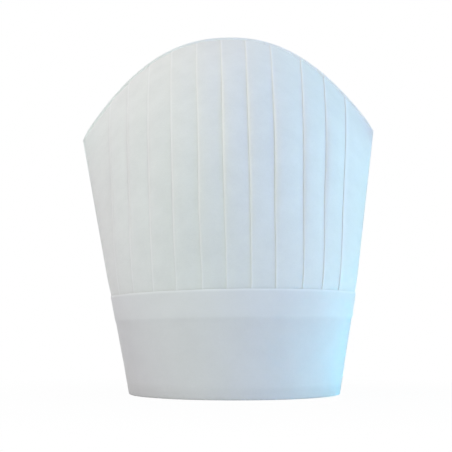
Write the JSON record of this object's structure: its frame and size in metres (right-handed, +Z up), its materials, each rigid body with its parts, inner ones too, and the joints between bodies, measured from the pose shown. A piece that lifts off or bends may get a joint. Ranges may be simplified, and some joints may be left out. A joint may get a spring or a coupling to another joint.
{
  "type": "chef toque",
  "caption": "Tall pleated chef's hat with a closed rounded top, a stiff lined cuff and a hook-and-loop back closure that peels open.",
  "frame": {"origin": "centre of the head opening, on the surface that the rim stands on", "axes": "+Z up, the wearer faces -Y with the sweatband at the front and the closure at the back, +X to the right seen from the front"},
  "size_m": [0.251, 0.1792, 0.3087],
  "materials": {
    "crown_cloth": "matt white non-woven cloth",
    "cuff_cloth": "matt white non-woven cloth over card",
    "lining_cloth": "matt white non-woven cloth",
    "card": "off-white card",
    "foam": "thin cloth-covered foam",
    "hook_and_loop": "white hook-and-loop tape"
  },
  "bodies": {
    "hat": {"crown_front": "crown_cloth", "crown_back": "crown_cloth", "cuff_cover": "cuff_cloth", "cuff_stiffener": "card", "cuff_lining": "lining_cloth", "sweatband": "foam", "loop_patch": "hook_and_loop"},
    "tail": {"cuff_tail": "cuff_cloth", "hook_patch": "hook_and_loop"}
  },
  "joints": [
    {"name": "cuff_tail_peel", "type": "hinge", "parent": "hat", "child": "tail", "pos_m": [0.04483, 0.07687, 0.0025], "axis": [-0.0919, 0.149, -0.9846], "range_deg": [0, 100]}
  ]
}
